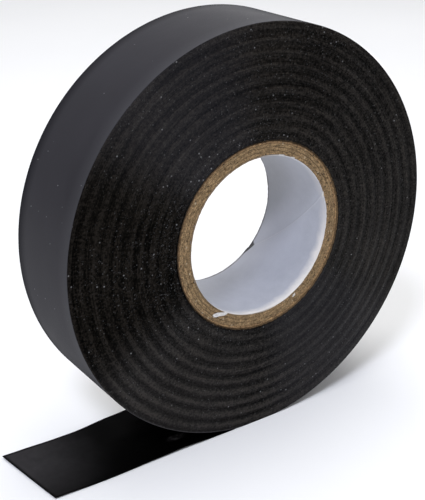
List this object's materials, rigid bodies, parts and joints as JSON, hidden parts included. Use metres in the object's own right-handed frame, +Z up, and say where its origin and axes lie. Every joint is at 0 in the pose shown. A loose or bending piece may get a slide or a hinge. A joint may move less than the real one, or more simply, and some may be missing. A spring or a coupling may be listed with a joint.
{
  "type": "electrical tape roll",
  "caption": "Roll of narrow black insulating tape on a lined chipboard core, standing on its rim with the sticky free end pulled out flat.",
  "frame": {"origin": "on the floor, in the middle of the small flat the roll stands on, under the roll's centre at mid width", "axes": "+Z up, Y along the roll's axis with the side face seen first at -Y, free end of the tape towards -X"},
  "size_m": [0.0879, 0.019, 0.0806],
  "materials": {
    "tape_film": "satin soft PVC, almost black",
    "tape_adhesive": "glossy rubber adhesive face on black PVC film",
    "core_liner_paper": "smooth white paper",
    "core_chipboard": "raw cut grey-brown chipboard",
    "core_kraft_paper": "cut edge of kraft paper"
  },
  "bodies": {
    "roll": {"tape_windings": "tape_film", "core_liner": "core_liner_paper", "core_board_ply_1": "core_chipboard", "core_board_ply_2": "core_chipboard", "core_board_ply_3": "core_chipboard", "core_outer_wrap": "core_kraft_paper"},
    "lead": {"tape_lead": "tape_adhesive"},
    "tail_inner": {"tape_tail_inner": "tape_adhesive"},
    "tail_middle": {"tape_tail_middle": "tape_adhesive"},
    "tail_end": {"tape_tail_end": "tape_adhesive"}
  },
  "joints": [
    {"name": "unwind", "type": "hinge", "parent": "roll", "child": "lead", "pos_m": [0, 0, 0.04015], "axis": [0, -1, 0], "continuous": true},
    {"name": "peel_bend", "type": "hinge", "parent": "lead", "child": "tail_inner", "pos_m": [-0.0121, 0, 0.00006], "axis": [0, 1, 0], "range_deg": [-90, 22]},
    {"name": "tail_bend_middle", "type": "hinge", "parent": "tail_inner", "child": "tail_middle", "pos_m": [-0.023, 0, 0.00006], "axis": [0, 1, 0], "range_deg": [-45, 18]},
    {"name": "tail_bend_end", "type": "hinge", "parent": "tail_middle", "child": "tail_end", "pos_m": [-0.034, 0, 0.00006], "axis": [0, 1, 0], "range_deg": [-45, 16]}
  ]
}
